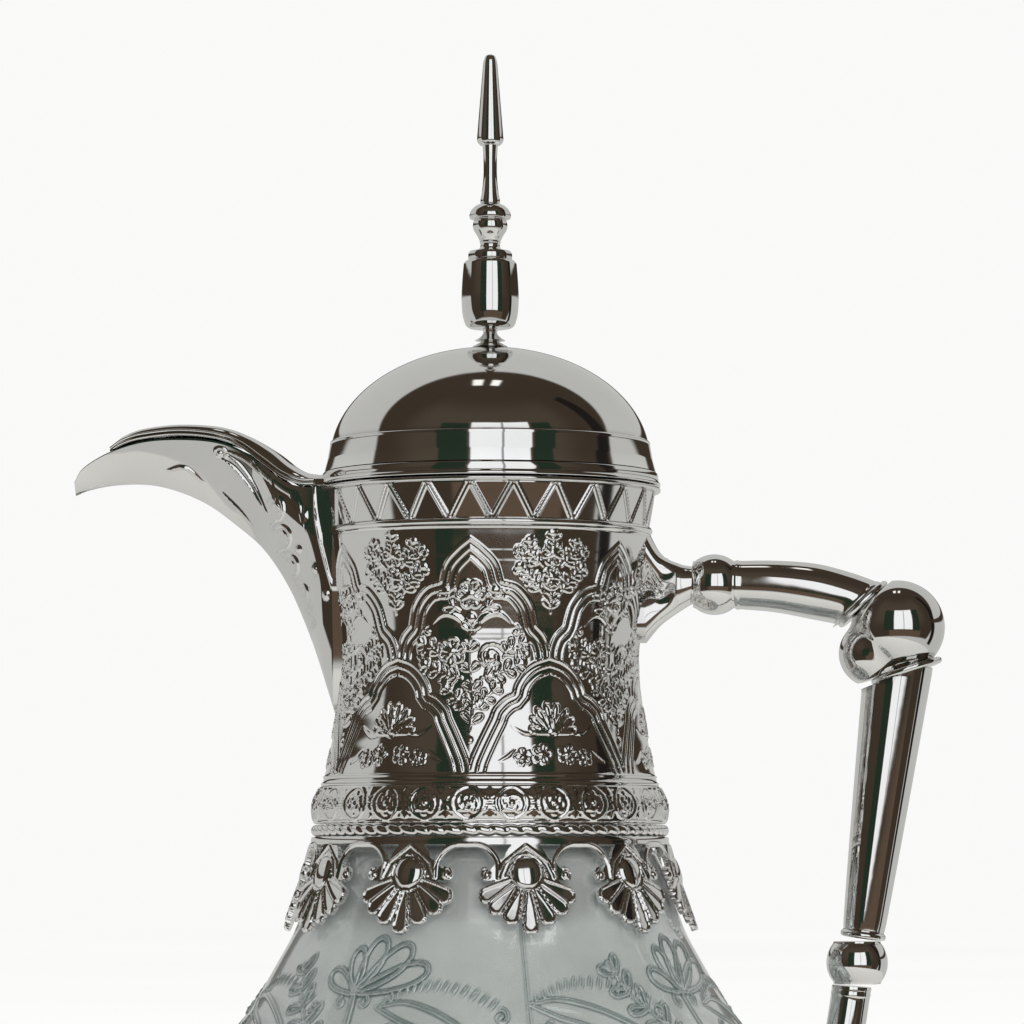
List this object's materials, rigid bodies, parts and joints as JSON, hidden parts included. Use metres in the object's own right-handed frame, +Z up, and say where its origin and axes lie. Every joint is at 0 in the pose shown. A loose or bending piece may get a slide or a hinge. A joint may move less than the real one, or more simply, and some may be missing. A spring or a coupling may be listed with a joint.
{
  "type": "dallah coffee pot",
  "caption": "Dallah coffee pot: pressed glass jug with a chromed embossed neck, curved beak spout, lift-off domed lid with a tall finial, and a jointed side handle.",
  "frame": {"origin": "centre of the foot's underside, on the axis of the jug", "axes": "+Z up along the jug's axis to the finial, spout towards -X, handle towards +X"},
  "size_m": [0.2321, 0.168, 0.34],
  "materials": {
    "chrome": "mirror plating over embossed relief",
    "glass": "pressed, slightly frosted, grey-green at its edges",
    "steel": "plain turned",
    "plastic": "moulded, fine grain",
    "silicone": "soft, satin",
    "rubber": "matt"
  },
  "bodies": {
    "root": {"neck_sleeve": "chrome", "spout": "chrome", "neck_liner": "plastic", "window_seal": "silicone", "mouth_gasket": "silicone", "clamp_ring": "plastic", "scroll_band": "chrome", "rope_ring": "chrome", "lace_collar": "chrome", "glass_body": "glass", "handle_root": "chrome", "root_screws": "steel", "front_ball": "chrome", "upper_tube": "chrome", "top_collar": "chrome", "elbow": "chrome", "bottom_collar": "chrome", "grip_tube": "chrome", "lower_ball": "chrome", "tail_tube": "chrome", "handle_foot": "chrome", "foot_screw": "steel", "base_lace": "chrome", "base_rope": "chrome", "base_shell": "chrome", "base_cushion": "silicone", "foot_ring": "chrome", "base_plate": "plastic", "base_screws": "steel", "foot_pad": "rubber"},
    "lid": {"finial_tip": "chrome", "finial_stem": "chrome", "finial_bead": "chrome", "finial_spool": "chrome", "finial_cup": "chrome", "finial_base": "chrome", "finial_rod": "steel", "finial_washer": "steel", "finial_nut": "steel", "lid_dome": "chrome", "lid_rim": "chrome", "spout_cover": "chrome", "lid_plug": "plastic", "lid_gasket": "silicone", "lid_screws": "steel"}
  },
  "joints": [
    {"name": "lid_lift", "type": "slide", "parent": "root", "child": "lid", "axis": [0, 0, 1], "range_m": [0, 0.08]}
  ]
}
